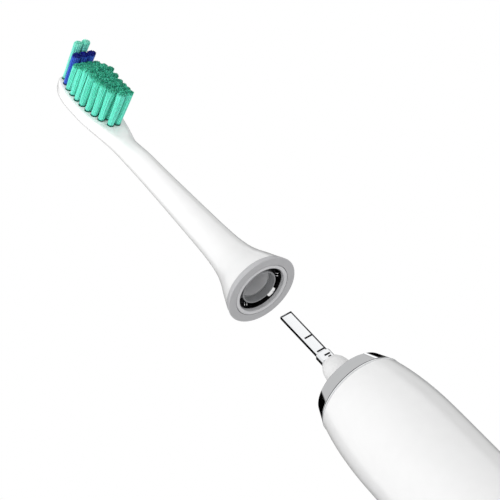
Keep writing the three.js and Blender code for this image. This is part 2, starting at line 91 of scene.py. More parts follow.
# Nose and blade, with heights from the top of the trim ring
RING_TOP_RADIUS = 9.3
BOOT_TOP = 8.1
SHAFT_RADIUS = 1.6
BLADE_SHOULDER = 11.55
BLADE_WIDTH = 3.0
BLADE_THICKNESS = 1.4
BLADE_EDGE = 0.5
EDGE_SLOPE = 30
BLADE_TAPER = 0.7
TIP_SLOPE = 25
FOOT_HALF = 1.8
FOOT_SLOTS = [((-0.35, -2, 9.6), (1.15, -0.6, 10.1)), ((0.15, -2, 8.6), (0.95, -0.6, 9.3))]
BLADE_TURN = math.radians(-20)
BLADE_GROOVES = (11.9, 16.8)
GROOVE_HALF_HEIGHT = 0.25

# Brush head, with heights from its open end
HEAD_RADIUS = 9.4
CLIP_TABS = (31, 151, 271)  # degrees round the axis
CLIP_PRONGS = (-16, 104, 224)
TAB_WIDTH = 2.4
PRONG_WIDTH = 0.26
PRONG_SPACING = 0.8
BEAD = 0.12  # how far the bead stands below the collar's face
BASE_RING_HEIGHT = 1.7
FLAT_START = 50  # where the front begins to flatten
PADDLE_START = 58
PADDLE_WIDEST = 75
PADDLE_HALF_WIDTH = 5.3
PLATFORM = 2.1
TUFT_RADIUS = 0.85
TUFT_TIP = (1.3, 1.1)
TUFT_LEAN = 0.12
HOLE_CLEARANCE = 0.07
FILAMENTS_PER_TUFT = 70
FILAMENT_SIDES = 5
FILAMENT_RADIUS = 0.125
FILAMENT_STATIONS = (-1.9, 0.0, 0.2, 0.45, 0.7, 0.9, 0.985, 1.0)  # below 0 in mm, above it a share
GOLDEN_ANGLE = math.pi * (3 - math.sqrt(5))
TUFT_ROWS = [  # height, outermost tuft, count, free length, how much shorter the last tuft is
    (64.9, 1.0, 2, 10.8, 0),
    (67.5, 2.15, 3, 10.1, 0.3),
    (69.7, 2.8, 4, 10.1, 0.9),
    (71.9, 3.2, 4, 10.0, 1.2),
    (74.3, 3.4, 4, 10.2, 1.2),
    (76.6, 3.4, 4, 10.2, 0.8),
    (78.9, 3.2, 4, 9.1, 0.4),
    (81.2, 2.9, 4, 8.1, 0.2),
    (83.4, 2.2, 3, 9.8, 0),
    (85.6, 1.15, 2, 12.0, 0),
]
NAVY_ROW = 9

# ---------------------------------------------------------------------------------------------
# Materials


def linear(red, green, blue):
    """A linear colour from 0-255 display values."""

    def one(value):
        value /= 255
        return value / 12.92 if value <= 0.04045 else ((value + 0.055) / 1.055) ** 2.4

    return (one(red), one(green), one(blue), 1.0)


def scaled(colour, factor):
    return tuple(min(1.0, c * factor) for c in colour[:3]) + (1.0,)


class Nodes:
    """A short way to build a material's node tree."""

    def __init__(self, name):
        self.material = bpy.data.materials.new(name)
        self.material.use_nodes = True
        self.tree = self.material.node_tree
        self.shader = self.tree.nodes["Principled BSDF"]

    def add(self, kind, **values):
        node = self.tree.nodes.new(kind)
        for key, value in values.items():
            setattr(node, key, value)
        return node

    def link(self, start, end):
        self.tree.links.new(start, end)

    def place(self):
        return self.add("ShaderNodeTexCoord").outputs["Object"]

    def noise(self, scale, detail=3.0, stretch=None):
        """A noise pattern fixed to the object; scale is in features per metre."""
        texture = self.add("ShaderNodeTexNoise")
        texture.inputs["Scale"].default_value = scale
        texture.inputs["Detail"].default_value = detail
        source = self.place()
        if stretch:
            mapping = self.add("ShaderNodeMapping")
            mapping.inputs["Scale"].default_value = stretch
            self.link(source, mapping.inputs["Vector"])
            source = mapping.outputs["Vector"]
        self.link(source, texture.inputs["Vector"])
        return texture.outputs["Fac"]

    def remap(self, value, low, high, from_low=0.3, from_high=0.7):
        node = self.add("ShaderNodeMapRange")
        node.inputs["From Min"].default_value = from_low
        node.inputs["From Max"].default_value = from_high
        node.inputs["To Min"].default_value = low
        node.inputs["To Max"].default_value = high
        self.link(value, node.inputs["Value"])
        return node.outputs["Result"]

    def mix(self, factor, first, second, blend="MIX"):
        node = self.add("ShaderNodeMix", data_type="RGBA", blend_type=blend)
        for socket, value in ((node.inputs[6], first), (node.inputs[7], second)):
            if isinstance(value, tuple):
                socket.default_value = value
            else:
                self.link(value, socket)
        if isinstance(factor, float):
            node.inputs[0].default_value = factor
        else:
            self.link(factor, node.inputs[0])
        return node.outputs[2]

    def bump(self, height, strength, distance=0.0001):
        node = self.add("ShaderNodeBump")
        node.inputs["Strength"].default_value = strength
        node.inputs["Distance"].default_value = distance
        self.link(height, node.inputs["Height"])
        self.link(node.outputs["Normal"], self.shader.inputs["Normal"])


def surface(
    name, colour, roughness, metal=0.0, vary=0.03, grain=900, bump=0.05, stretch=None, **sockets
):
    """A moulded, metal or rubber surface: clouded colour, uneven polish and fine grain."""
    n = Nodes(name)
    cloud = n.noise(grain * 0.12, 2.0, stretch)
    fine = n.noise(grain, 4.0, stretch)
    base = n.mix(n.remap(cloud, 0.0, 1.0), scaled(colour, 1 - vary), scaled(colour, 1 + vary))
    n.link(base, n.shader.inputs["Base Color"])
    uneven = n.remap(fine, roughness * 0.85, roughness * 1.15)
    n.link(uneven, n.shader.inputs["Roughness"])
    n.shader.inputs["Metallic"].default_value = metal
    n.bump(fine, bump)
    for key, value in sockets.items():
        n.shader.inputs[key.replace("_", " ")].default_value = value
    return n.material


def bristle(name, root_shade, side, tip_shade, pale_tip_shade):
    """Nylon filaments: painted shade at the root, bright along the side, and painted shade over the cut
    ends, paler on some filaments at random.
    """
    n = Nodes(name)
    along = n.add("ShaderNodeAttribute", attribute_name="along").outputs["Fac"]
    tone = n.add("ShaderNodeAttribute", attribute_name="tone").outputs["Fac"]
    # Painted shade at the root, where the hole's shadow falls on the filaments.
    lower = n.mix(n.remap(along, 0.0, 1.0, 0.015, 0.05), root_shade, side)
    # Painted shade over the cut ends for the dark inside the bundle, paler at random per filament.
    tip = n.mix(n.remap(tone, 0.0, 1.0, 0.2, 0.9), tip_shade, pale_tip_shade)
    whole = n.mix(n.remap(along, 0.0, 1.0, 0.93, 0.99), lower, tip)
    shade = n.mix(n.remap(tone, 0.0, 1.0, 0.0, 1.0), (0.92, 0.94, 0.94, 1), (1.0, 1.0, 1.0, 1))
    colour = n.mix(1.0, whole, shade, "MULTIPLY")
    n.link(colour, n.shader.inputs["Base Color"])
    through = n.add("ShaderNodeBsdfTranslucent")
    n.link(colour, through.inputs["Color"])
    blend = n.add("ShaderNodeMixShader")
    blend.inputs["Fac"].default_value = 0.3
    n.link(n.shader.outputs["BSDF"], blend.inputs[1])
    n.link(through.outputs["BSDF"], blend.inputs[2])
    n.link(blend.outputs["Shader"], n.tree.nodes["Material Output"].inputs["Surface"])
    fine = n.noise(4000, 2.0, (1.0, 0.1, 1.0))
    n.link(n.remap(fine, 0.25, 0.4), n.shader.inputs["Roughness"])
    n.bump(fine, 0.08)
    return n.material


WHITE = surface(
    "white_plastic", (0.88, 0.88, 0.88, 1), 0.22, vary=0.008, grain=2500, bump=0.02,
    Coat_Weight=0.25, Coat_Roughness=0.08,
)
SOFT_WHITE = surface("soft_white", (0.84, 0.845, 0.85, 1), 0.42, vary=0.012, grain=5000, bump=0.08)
SILICONE = surface("white_silicone", (0.79, 0.79, 0.79, 1), 0.4, vary=0.012, grain=3500, bump=0.02)
COLLAR = surface("collar_grey", linear(190, 190, 192), 0.36, vary=0.02, grain=3500, bump=0.04)
# A lighter copy of the collar grey: painted light on the bead.
COLLAR_PAINTED_LIGHT = surface("collar_grey_painted_light", linear(218, 218, 220), 0.32, vary=0.02, grain=3500, bump=0.04)
INSERT = surface("insert_grey", linear(150, 151, 153), 0.3, vary=0.03, grain=3000, bump=0.05)
CHROME = surface("chrome", (0.82, 0.83, 0.84, 1), 0.05, 1.0, vary=0.01, grain=1500, bump=0.004)
TAB_STEEL = surface("bright_tabs", (0.97, 0.97, 0.97, 1), 0.06, 1.0, vary=0.01, grain=2500, bump=0.005)
LINER = surface("pale_liner", (0.72, 0.72, 0.73, 1), 0.5, vary=0.02, grain=3000, bump=0.03)
# The clip is coloured near-black all over, so the gap round the socket reads black.
CLIP = surface("near_black_spring_steel", (0.03, 0.03, 0.032, 1), 0.12, 0.9, vary=0.1, grain=2500, bump=0.01)
STEEL = surface(
    "polished_steel", (0.8, 0.81, 0.82, 1), 0.12, 1.0, vary=0.06, grain=2500, bump=0.04,
    stretch=(1.0, 1.0, 0.06),
)
# Steel painted dark as shade, for grooves and slots where shadow falls.
PAINTED_SHADE_STEEL = surface("shaded_steel", (0.05, 0.05, 0.055, 1), 0.4, 0.6, vary=0.1, grain=4000, bump=0.1)
PLAIN_STEEL = surface("plain_steel", (0.6, 0.61, 0.62, 1), 0.32, 1.0, vary=0.05, bump=0.05)
IRON = surface("lamination_iron", (0.2, 0.21, 0.22, 1), 0.5, 0.9, 0.1, 3000, 0.3, (0.1, 1.0, 1.0))
NICKEL = surface("nickel_magnet", (0.66, 0.65, 0.62, 1), 0.2, 1.0, vary=0.03, bump=0.03)
BRONZE = surface("sintered_bronze", (0.5, 0.3, 0.13, 1), 0.5, 1.0, vary=0.15, grain=9000, bump=0.4)
COPPER = surface("wound_copper", (0.6, 0.24, 0.1, 1), 0.3, 1.0, 0.12, 2500, 0.9, (0.05, 0.05, 1.0))
BLACK_RUBBER = surface("black_rubber", (0.02, 0.02, 0.02, 1), 0.6, vary=0.2, grain=6000, bump=0.2)
BLACK_PLASTIC = surface("black_plastic", (0.025, 0.025, 0.028, 1), 0.5, vary=0.2, grain=7000, bump=0.2)
NATURAL = surface("natural_nylon", (0.66, 0.63, 0.55, 1), 0.45, vary=0.04, grain=4000, bump=0.1)
BOARD = surface("solder_mask", (0.01, 0.16, 0.07, 1), 0.35, vary=0.25, grain=2500, bump=0.1)
SLEEVE = surface("shrink_sleeve", (0.02, 0.14, 0.42, 1), 0.3, vary=0.08, grain=900, bump=0.15)
FROSTED = surface(
    "frosted_clear", (0.78, 0.82, 0.84, 1), 0.45, vary=0.03, grain=6000, bump=0.1,
    Transmission_Weight=0.3,
)
# For each nylon the root colour and the two cut-end colours are painted shade; the side colour is the
# nylon's own.
MINT = bristle(
    "mint_nylon", linear(10, 120, 100), linear(132, 255, 234), linear(40, 165, 135), linear(105, 238, 205)
)
PALE_MINT = bristle(
    "pale_mint_nylon", linear(10, 120, 100), linear(155, 255, 240), linear(125, 246, 222),
    linear(185, 255, 242),
)
NAVY = bristle(
    "navy_nylon", linear(15, 25, 100), linear(78, 118, 235), linear(20, 20, 130), linear(36, 40, 165)
)

CAD_FINISHES = {
    "front_cap": WHITE,
    "light_guide": FROSTED,
    "tact_switch": BLACK_PLASTIC,
    "button_seal": BLACK_RUBBER,
    "bottom_cap_seal": BLACK_RUBBER,
    "front_cap_seal": BLACK_RUBBER,
    "chassis": NATURAL,
    "circuit_board": BOARD,
    "controller_chip": BLACK_PLASTIC,
    "driver_chip": BLACK_PLASTIC,
    "charger_chip": BLACK_PLASTIC,
    "board_capacitor": SLEEVE,
    "battery_cell": SLEEVE,
    "cell_tab_bottom": PLAIN_STEEL,
    "cell_tab_top": PLAIN_STEEL,
    "charging_coil": COPPER,
    "coil_former": NATURAL,
    "front_bearing": BRONZE,
    "drive_frame": NATURAL,
    "stator_core": IRON,
    "stator_coil": COPPER,
    "coil_bobbin": BLACK_PLASTIC,
    "armature": IRON,
    "magnet_left": NICKEL,
    "magnet_right": NICKEL,
    "torsion_spring": PLAIN_STEEL,
    "torsion_anchor": IRON,
    "anchor_screw_left": PLAIN_STEEL,
    "anchor_screw_right": PLAIN_STEEL,
    "grip_spring": PLAIN_STEEL,
    **{f"mode_led_{i}": FROSTED for i in range(1, 5)},
}

# ---------------------------------------------------------------------------------------------
# Mesh helpers


def finish_mesh(name, bm, material, smooth=35):
    """An object from a bmesh in millimetres."""
    bmesh.ops.recalc_face_normals(bm, faces=bm.faces)
    bmesh.ops.scale(bm, vec=(MM, MM, MM), verts=bm.verts)
    mesh = bpy.data.meshes.new(name)
    bm.to_mesh(mesh)
    bm.free()
    obj = bpy.data.objects.new(name, mesh)
    bpy.context.scene.collection.objects.link(obj)
    mesh.materials.append(material)
    soften(obj, smooth)
    return obj


def soften(obj, angle):
    mesh = obj.data
    mesh.shade_smooth()
    mesh.set_sharp_from_angle(angle=math.radians(angle))


def weighted(obj):
    """Keeps large faces flat beside small rounded edges."""
    obj.modifiers.new("weighted_normals", "WEIGHTED_NORMAL").keep_sharp = True
    return obj


def applied(obj):
    """Replaces the object's mesh with its evaluated one and drops the modifiers."""
    graph = bpy.context.evaluated_depsgraph_get()
    mesh = bpy.data.meshes.new_from_object(obj.evaluated_get(graph))
    obj.modifiers.clear()
    obj.data = mesh
    return obj


def joined(obj, tool, operation):
    change = obj.modifiers.new(operation, "BOOLEAN")
    change.operation = operation
    change.solver = "EXACT"
    change.object = tool
    applied(obj)
    bpy.data.objects.remove(tool)
    return obj


def cut(obj, tool):
    return joined(obj, tool, "DIFFERENCE")


def bevelled(obj, width, segments=3, angle=40):
    bevel = obj.modifiers.new("bevel", "BEVEL")
    bevel.width = width * MM
    bevel.segments = segments
    bevel.limit_method = "ANGLE"
    bevel.angle_limit = math.radians(angle)
    return applied(obj)


def rounded(profile, steps=5, closed=True):
    """The profile with its corners rounded; each point is (radius, height, corner radius)."""
    count = len(profile)
    points = []
    for i, (radius, height, corner) in enumerate(profile):
        here = Vector((radius, height))
        before = Vector(profile[i - 1][:2]) - here
        after = Vector(profile[(i + 1) % count][:2]) - here
        at_end = not closed and i in (0, count - 1)
        if at_end or corner == 0 or before.length == 0 or after.length == 0:
            points.append(here)
            continue
        angle = before.angle(after)
        if angle > math.pi - 0.02:
            points.append(here)
            continue
        reach = min(corner / math.tan(angle / 2), 0.48 * before.length, 0.48 * after.length)
        start, end = here + before.normalized() * reach, here + after.normalized() * reach
        for k in range(steps + 1):
            s = k / steps
            points.append((1 - s) ** 2 * start + 2 * s * (1 - s) * here + s * s * end)
    return points


def skin(bm, pairs):
    """Faces between pairs of rings of points, where a ring of one point is a pole."""
    for low, high in pairs:
        count = max(len(low), len(high))
        for i in range(count):
            j = (i + 1) % count
            if len(low) == 1:
                bm.faces.new((low[0], high[i], high[j]))
            elif len(high) == 1:
                bm.faces.new((low[i], low[j], high[0]))
            else:
                bm.faces.new((low[i], low[j], high[j], high[i]))


def add_lathe(bm, points, segments):
    rings = []
    for radius, height in points:
        if radius < 1e-6:
            rings.append([bm.verts.new((0, 0, height))])
            continue
        turns = [2 * math.pi * i / segments for i in range(segments)]
        rings.append([bm.verts.new((radius * math.cos(t), radius * math.sin(t), height)) for t in turns])
    pairs = list(zip(rings, rings[1:]))
    if len(rings[0]) > 1:
        pairs.append((rings[-1], rings[0]))
    skin(bm, pairs)


def lathe(name, profile, material, z=0.0, segments=128, corner=0.0, closed=True):
    """A turned piece. A point of two numbers gets the default corner radius."""
    full = [p if len(p) == 3 else (*p, corner) for p in profile]
    bm = bmesh.new()
    add_lathe(bm, rounded(full, closed=closed), segments)
    bmesh.ops.translate(bm, vec=(0, 0, z), verts=bm.verts)
    return finish_mesh(name, bm, material)


def box_tool(low, high):
    bm = bmesh.new()
    bmesh.ops.create_cube(bm, size=1)
    size = [b - a for a, b in zip(low, high)]
    middle = [(a + b) / 2 for a, b in zip(low, high)]
    bmesh.ops.scale(bm, vec=size, verts=bm.verts)
    bmesh.ops.translate(bm, vec=middle, verts=bm.verts)
    return finish_mesh("tool", bm, WHITE)


def cross_rod_tool(places, radius, front, back, segments=32):
    """Rods along Y, one at each (x, z), from y = front to y = back."""
    bm = bmesh.new()
    for x, z in places:
        turn = Matrix.Rotation(math.pi / 2, 4, "X")
        move = Matrix.Translation((x, (front + back) / 2, z))
        bmesh.ops.create_cone(
            bm, cap_ends=True, segments=segments, radius1=radius, radius2=radius,
            depth=back - front, matrix=move @ turn,
        )
    return finish_mesh("tool", bm, WHITE)


def spaced(low, high, count):
    return [low + (high - low) * i / (count - 1) for i in range(count)]


def smooth_step(value):
    value = min(1.0, max(0.0, value))
    return value * value * (3 - 2 * value)


# ---------------------------------------------------------------------------------------------
# Handle


def handle_radius(z):
    if z < BELLY_HEIGHT:
        return BELLY_RADIUS - (BELLY_RADIUS - FOOT_RADIUS) * ((BELLY_HEIGHT - z) / BELLY_HEIGHT) ** 2
    taper = UPPER_TAPER * ((z - BELLY_HEIGHT) / (SHOULDER_START - BELLY_HEIGHT)) ** 2
    along = max(0.0, (z - SHOULDER_START) / (SHELL_TOP - SHOULDER_START))
    return BELLY_RADIUS - taper - SHOULDER_DROP * along**2.5


def handle_shell():
    heights = spaced(SHELL_BOTTOM + 0.1, SHELL_TOP - 0.1, 90)
    outside = [(handle_radius(SHELL_BOTTOM) - 0.1, SHELL_BOTTOM)]
    outside += [(handle_radius(z), z) for z in heights]
    outside += [(handle_radius(SHELL_TOP) - 0.1, SHELL_TOP)]
    inside = [(COLLAR_BORE, SHELL_TOP), (COLLAR_BORE, SHELL_TOP - 5)]
    low = spaced(SHELL_TOP - 6, SHELL_BOTTOM, 12)
    inside += [(handle_radius(z) - SHELL_WALL, z) for z in low]
    shell = lathe("shell", outside + inside, WHITE, segments=160)
    cut(shell, cross_rod_tool([(0, BUTTON_MIDDLE)], BUTTON_RADIUS + BUTTON_GAP, -20, 0, 96))
    cut(shell, cross_rod_tool([(0, z) for z in LED_HEIGHTS], LED_WINDOW_RADIUS, -20, 0, 24))
    soften(shell, 35)
    weighted(shell)
    return shell


def power_button():
    """A disc that follows the handle's round wall, with a shallow dish for the finger."""
    bm = bmesh.new()
    around = 96
    section = [(0, 0.12), (1.5, 0.13), (3.0, 0.2), (3.9, 0.28), (4.4, 0.3), (4.75, 0.24)]
    section += [(4.92, 0.1), (5.0, -0.1), (5.0, -1.3), (2.5, -1.3), (0, -1.3)]
    rings = []
    for spread, proud in section:
        ring = []
        for i in range(around if spread else 1):
            turn = 2 * math.pi * i / around
            x, up = spread * math.cos(turn), spread * math.sin(turn)
            wall = handle_radius(BUTTON_MIDDLE + up) + proud
            ring.append(bm.verts.new((x, -math.sqrt(wall * wall - x * x), BUTTON_MIDDLE + up)))
        rings.append(ring)
    skin(bm, zip(rings, rings[1:]))
    button = finish_mesh("button", bm, SOFT_WHITE, 60)
    joined(button, cross_rod_tool([(0, BUTTON_MIDDLE)], 1.5, -12.8, -11.05, 32), "UNION")
    soften(button, 50)
    return button


def trim_ring():
    seat = SHELL_TOP - RING_TOP + 0.03
    shoulder = handle_radius(SHELL_TOP)
    profile = [
        (COLLAR_BORE, seat, 0), (shoulder - 0.15, seat, 0.08), (shoulder + 0.02, seat + 0.16, 0.12),
        (shoulder + 0.02, seat + 0.42, 0.1), (shoulder - 0.3, seat + 0.46, 0),
        (shoulder - 0.3, seat + 0.66, 0), (shoulder - 0.16, seat + 0.7, 0.06),
        (RING_TOP_RADIUS + 0.05, -0.12, 0.12), (RING_TOP_RADIUS - 0.1, 0, 0.06),
        (8.2, 0, 0.15), (8.2, -1, 0), (8.85, -1, 0), (COLLAR_BORE, -2.4, 0),
    ]
    ring = lathe("chrome_ring", profile, CHROME, RING_TOP, 256)
    # The groove faces under the ring's edge are painted dark as shade.
    ring.data.materials.append(PAINTED_SHADE_STEEL)
    low, high = (RING_TOP + seat + 0.44) * MM, (RING_TOP + seat + 0.68) * MM
    for face in ring.data.polygons:
        outside = math.hypot(face.center.x, face.center.y) > (shoulder - 0.4) * MM
        face.material_index = int(outside and low < face.center.z < high)
    return weighted(ring)


def shaft_boot():
    profile = [
        (1.8, -1.1, 0), (8, -1.1, 0), (8, -0.4, 0.2), (5.3, -0.1, 0.8), (4.2, 0.5, 0.9),
        (3.7, 1.5, 0.8), (3.62, 3.9, 0.3), (3.5, 4.25, 0.25), (3.42, 4.3, 0.2), (3.3, 5.6, 0.6),
        (3.02, 6.8, 1.0), (2.3, BOOT_TOP, 0.35), (1.8, BOOT_TOP, 0.1),
    ]
    return weighted(lathe("boot", profile, SILICONE, RING_TOP, 128))


def bottom_cap():
    rim, rim_top = handle_radius(0), SHELL_BOTTOM - 0.1
    profile = [
        (0, SOCKET_DEPTH), (SOCKET_RADIUS, SOCKET_DEPTH, 0.3), (SOCKET_RADIUS, 0.5, 0.3),
        (SOCKET_RADIUS + 0.5, 0, 0.3), (rim - 1.6, 0, 0.8), (rim - 0.5, 0.4, 0.6),
        (handle_radius(1.5), 1.5, 0.5), (handle_radius(rim_top), rim_top, 0.1), (10.4, rim_top),
        (10.4, 5), (9.4, 5.1), (9.4, 6.7), (10.4, 6.8), (10.4, 9), (6, 9), (6, SOCKET_DEPTH + 1.5),
        (0, SOCKET_DEPTH + 1.5),
    ]
    return weighted(lathe("foot_cap", profile, WHITE, closed=False))


# ---------------------------------------------------------------------------------------------
# Drive shaft


def tilted_box(low, high, turn, axis, centre):
    """A box about its own centre that is turned round an axis and then moved."""
    tool = box_tool(low, high)
    tool.data.transform(Matrix.Rotation(math.radians(turn), 4, axis))
    tool.data.transform(Matrix.Translation([c * MM for c in centre]))
    return tool


def inside(point, low, high):
    """Whether a point in metres lies in a box in millimetres, with a little to spare."""
    return all(a - 0.01 <= p / MM <= b + 0.01 for p, a, b in zip(point, low, high))


def drive_shaft():
    wide, thick = BLADE_WIDTH / 2, BLADE_THICKNESS / 2
    blade = box_tool((-wide, -thick, BLADE_SHOULDER - 0.6), (wide, thick, BLADE_TIP))
    blade.name = "blade"
    for side in (-1, 1):
        low, high = (-0.8, min(side, 0), -40), (0.8, max(side, 0), 40)
        edge = (-side * (wide - BLADE_EDGE), side * thick, 0)
        cut(blade, tilted_box(low, high, EDGE_SLOPE, "Z", edge))
        low, high = (-3, min(side, 0), -1), (3, max(side, 0), 1)
        cut(blade, tilted_box(low, high, side * TIP_SLOPE, "X", (0, side * thick, BLADE_TIP - BLADE_TAPER)))
    foot = box_tool((-FOOT_HALF, -1, BOOT_TOP + 0.2), (FOOT_HALF, 1, BLADE_SHOULDER))
    bevelled(foot, 0.4, 1)
    joined(blade, foot, "UNION")
    grooves = [
        ((-0.95, -2, z - GROOVE_HALF_HEIGHT), (2, -0.4, z + GROOVE_HALF_HEIGHT)) for z in BLADE_GROOVES
    ]
    for low, high in grooves + FOOT_SLOTS:
        cut(blade, box_tool(low, high))
    slots = grooves + [((low[0], -0.97, low[2]), high) for low, high in FOOT_SLOTS]
    profile = [
        (0, SHAFT_BOTTOM), (SHAFT_RADIUS, SHAFT_BOTTOM, 0.3), (SHAFT_RADIUS, BOOT_TOP + 0.4, 0.2),
        (0, BOOT_TOP + 0.4),
    ]
    joined(blade, lathe("rod", profile, STEEL, 0, 64, closed=False), "UNION")
    mesh = blade.data
    mesh.materials.clear()
    # Faces in the blade's grooves and the foot's slots are painted dark as shade.
    for material in (STEEL, PAINTED_SHADE_STEEL):
        mesh.materials.append(material)
    for face in mesh.polygons:
        face.material_index = int(any(inside(face.center, *slot) for slot in slots))
    turn = Matrix.Rotation(BLADE_TURN, 4, "Z")
    mesh.transform(Matrix.Translation((0, 0, RING_TOP * MM)) @ turn)
    soften(blade, 15)
    return blade


# ---------------------------------------------------------------------------------------------
# Brush head

NECK = [(9.4, 0), (7.45, 4.9), (5.8, 8.9), (4.8, 13), (4.15, 20), (3.5, 36), (3.15, 47), (3.02, 58)]


def neck_point(t):
    """A point of the smooth curve through the neck's outline, as (radius, height)."""
    place = (len(NECK) - 1) * t
    i = min(int(place), len(NECK) - 2)
    s = place - i
    p0, p1 = NECK[max(0, i - 1)], NECK[i]
    p2, p3 = NECK[i + 1], NECK[min(len(NECK) - 1, i + 2)]

    def along(a, b, c, d):
        v0, v1 = (c - a) / 2, (d - b) / 2
        return (2 * b - 2 * c + v0 + v1) * s**3 + (3 * c - 3 * b - 2 * v0 - v1) * s * s + v0 * s + b

    return along(p0[0], p1[0], p2[0], p3[0]), along(p0[1], p1[1], p2[1], p3[1])


def neck_radius(z):
    low, high = 0.0, 1.0
    for _ in range(30):
        middle = (low + high) / 2
        if neck_point(middle)[1] < z:
            low = middle
        else:
            high = middle
    return neck_point(low)[0]


def head_section(z):
    """Half width, front, back and front squareness of the head at a height."""
    flattened = smooth_step((z - FLAT_START) / 10)
    if z <= PADDLE_START:
        radius = neck_radius(z)
        return radius, radius + (PLATFORM - radius) * flattened, radius, 2.0
    start = neck_radius(PADDLE_START)
    opened = smooth_step((z - PADDLE_START) / (PADDLE_WIDEST - PADDLE_START - 2))
    end = max(0.0, (z - PADDLE_WIDEST) / (HEAD_LENGTH - PADDLE_WIDEST))
    closed = math.sqrt(max(0.0, 1 - end**2.4))
    tip = math.sqrt(max(0.0, 1 - max(0.0, (z - HEAD_LENGTH + 3) / 3) ** 2))
    flat = smooth_step((z - PADDLE_START) / 7)
    half = (start + (PADDLE_HALF_WIDTH - start) * opened) * closed
    front = (start + (PLATFORM - start) * flattened) * (0.35 + 0.65 * tip)
    back = (start + (2.5 - start) * opened) * (0.3 + 0.7 * tip)
    return half, front, back, 2 + 5 * flat


def brush_neck():
    heights = spaced(BASE_RING_HEIGHT + 0.03, PADDLE_START, 70)
    heights += spaced(PADDLE_START, HEAD_LENGTH - 2, 60)[1:]
    heights += [HEAD_LENGTH - 2 * (1 - math.sin(a)) for a in spaced(0, math.pi / 2, 14)[1:]]
    around = 96
    bm = bmesh.new()
    rings = []
    for z in heights:
        half, front, back, square = head_section(min(z, HEAD_LENGTH - 0.004))
        ring = []
        for i in range(around):
            turn = 2 * math.pi * i / around
            c, s = math.cos(turn), math.sin(turn)
            power = square if s < 0 else 2.2
            reach = (abs(c) ** power + abs(s) ** power) ** (-1 / power)
            ring.append(bm.verts.new((half * c * reach, (front if s < 0 else back) * s * reach, z)))
        rings.append(ring)
    skin(bm, zip(rings, rings[1:]))
    bm.faces.new(rings[0])
    bm.faces.new(rings[-1])
    neck = finish_mesh("neck", bm, WHITE, 50)
    socket = [
        (0, -1), (6.3, -1), (6.3, 3.4), (4.75, 4.2), (4.75, 8.9), (3.05, 9.2), (3.05, 25.6), (0, 25.6),
    ]
    cut(neck, lathe("tool", socket, WHITE, 0, 96, closed=False))
    holes = [(x, row[0]) for row in TUFT_ROWS for x in tuft_places(row)]
    cut(neck, cross_rod_tool(holes, TUFT_RADIUS + HOLE_CLEARANCE, -PLATFORM - 3, -PLATFORM + 2.5, 28))
    neck.data.transform(Matrix.Translation((0, 0, HEAD_BASE * MM)))
    soften(neck, 40)
    return neck


def tuft_places(row):
    _, reach, count, _, _ = row
    return spaced(-reach, reach, count)


def filament(rng, x, height, length, turn, spread):
    """The rings of points of one filament in a tuft that stands at x; the row is at a height."""
    du = spread * math.cos(turn) + rng.uniform(-0.06, 0.06)
    dv = spread * math.sin(turn) + rng.uniform(-0.06, 0.06)
    tone = rng.random()
    reach = length - 0.4 * spread * spread + rng.uniform(-0.14, 0.1)
    bow = (rng.uniform(-0.12, 0.12), rng.uniform(-0.12, 0.12))
    spin = rng.uniform(0, 6.28)
    points, along = [], []
    for place in FILAMENT_STATIONS:
        t = max(0.0, place)
        depth = reach * t if place > 0 else place
        wide = (TUFT_RADIUS - FILAMENT_RADIUS) + (TUFT_TIP[0] - TUFT_RADIUS) * t
        tall = (TUFT_RADIUS - FILAMENT_RADIUS) + (TUFT_TIP[1] - TUFT_RADIUS) * t
        curve = 4 * t * (1 - t)
        cx = x + du * wide + bow[0] * curve
        cz = height - TUFT_LEAN * depth * (place > 0) + dv * tall + bow[1] * curve
        size = FILAMENT_RADIUS * (0.55 if place == FILAMENT_STATIONS[-1] else 1.0)
        for s in range(FILAMENT_SIDES):
            a = spin + 2 * math.pi * s / FILAMENT_SIDES
            points.append((cx + size * math.cos(a), -PLATFORM - depth, cz + size * math.sin(a)))
            along.append(t)
    return points, along, tone


def filament_faces(first):
    """The side and end faces of a filament whose points begin at a number."""
    sides, rings = FILAMENT_SIDES, len(FILAMENT_STATIONS)
    faces = []
    for r in range(rings - 1):
        for s in range(sides):
            a, b = first + r * sides + s, first + r * sides + (s + 1) % sides
            faces.append((a, b, b + sides, a + sides))
    last = first + (rings - 1) * sides
    faces.append(tuple(last + s for s in range(sides)))
    faces.append(tuple(first + s for s in reversed(range(sides))))
    return faces


def tuft_row(name, row, material, seed):
    """Every filament of a row of tufts, fanned out a little and cut to an uneven dome."""
    rng = random.Random(seed)
    height, outermost, _, longest, crown = row
    verts, faces, along_values, tones = [], [], [], []
    for x in tuft_places(row):
        length = longest - crown * (max(0.0, x) / outermost) ** 2
        for k in range(FILAMENTS_PER_TUFT):
            spread = math.sqrt((k + 0.5) / FILAMENTS_PER_TUFT)
            turn = k * GOLDEN_ANGLE + seed
            points, along, tone = filament(rng, x, height, length, turn, spread)
            faces += filament_faces(len(verts))
            verts += points
            along_values += along
            tones += [tone] * len(points)
    mesh = bpy.data.meshes.new(name)
    mesh.from_pydata([(x * MM, y * MM, (z + HEAD_BASE) * MM) for x, y, z in verts], [], faces)
    for key, values in (("along", along_values), ("tone", tones)):
        mesh.attributes.new(key, "FLOAT", "POINT").data.foreach_set("value", values)
    mesh.materials.append(material)
    obj = bpy.data.objects.new(name, mesh)
    bpy.context.scene.collection.objects.link(obj)
    soften(obj, 60)
    return obj


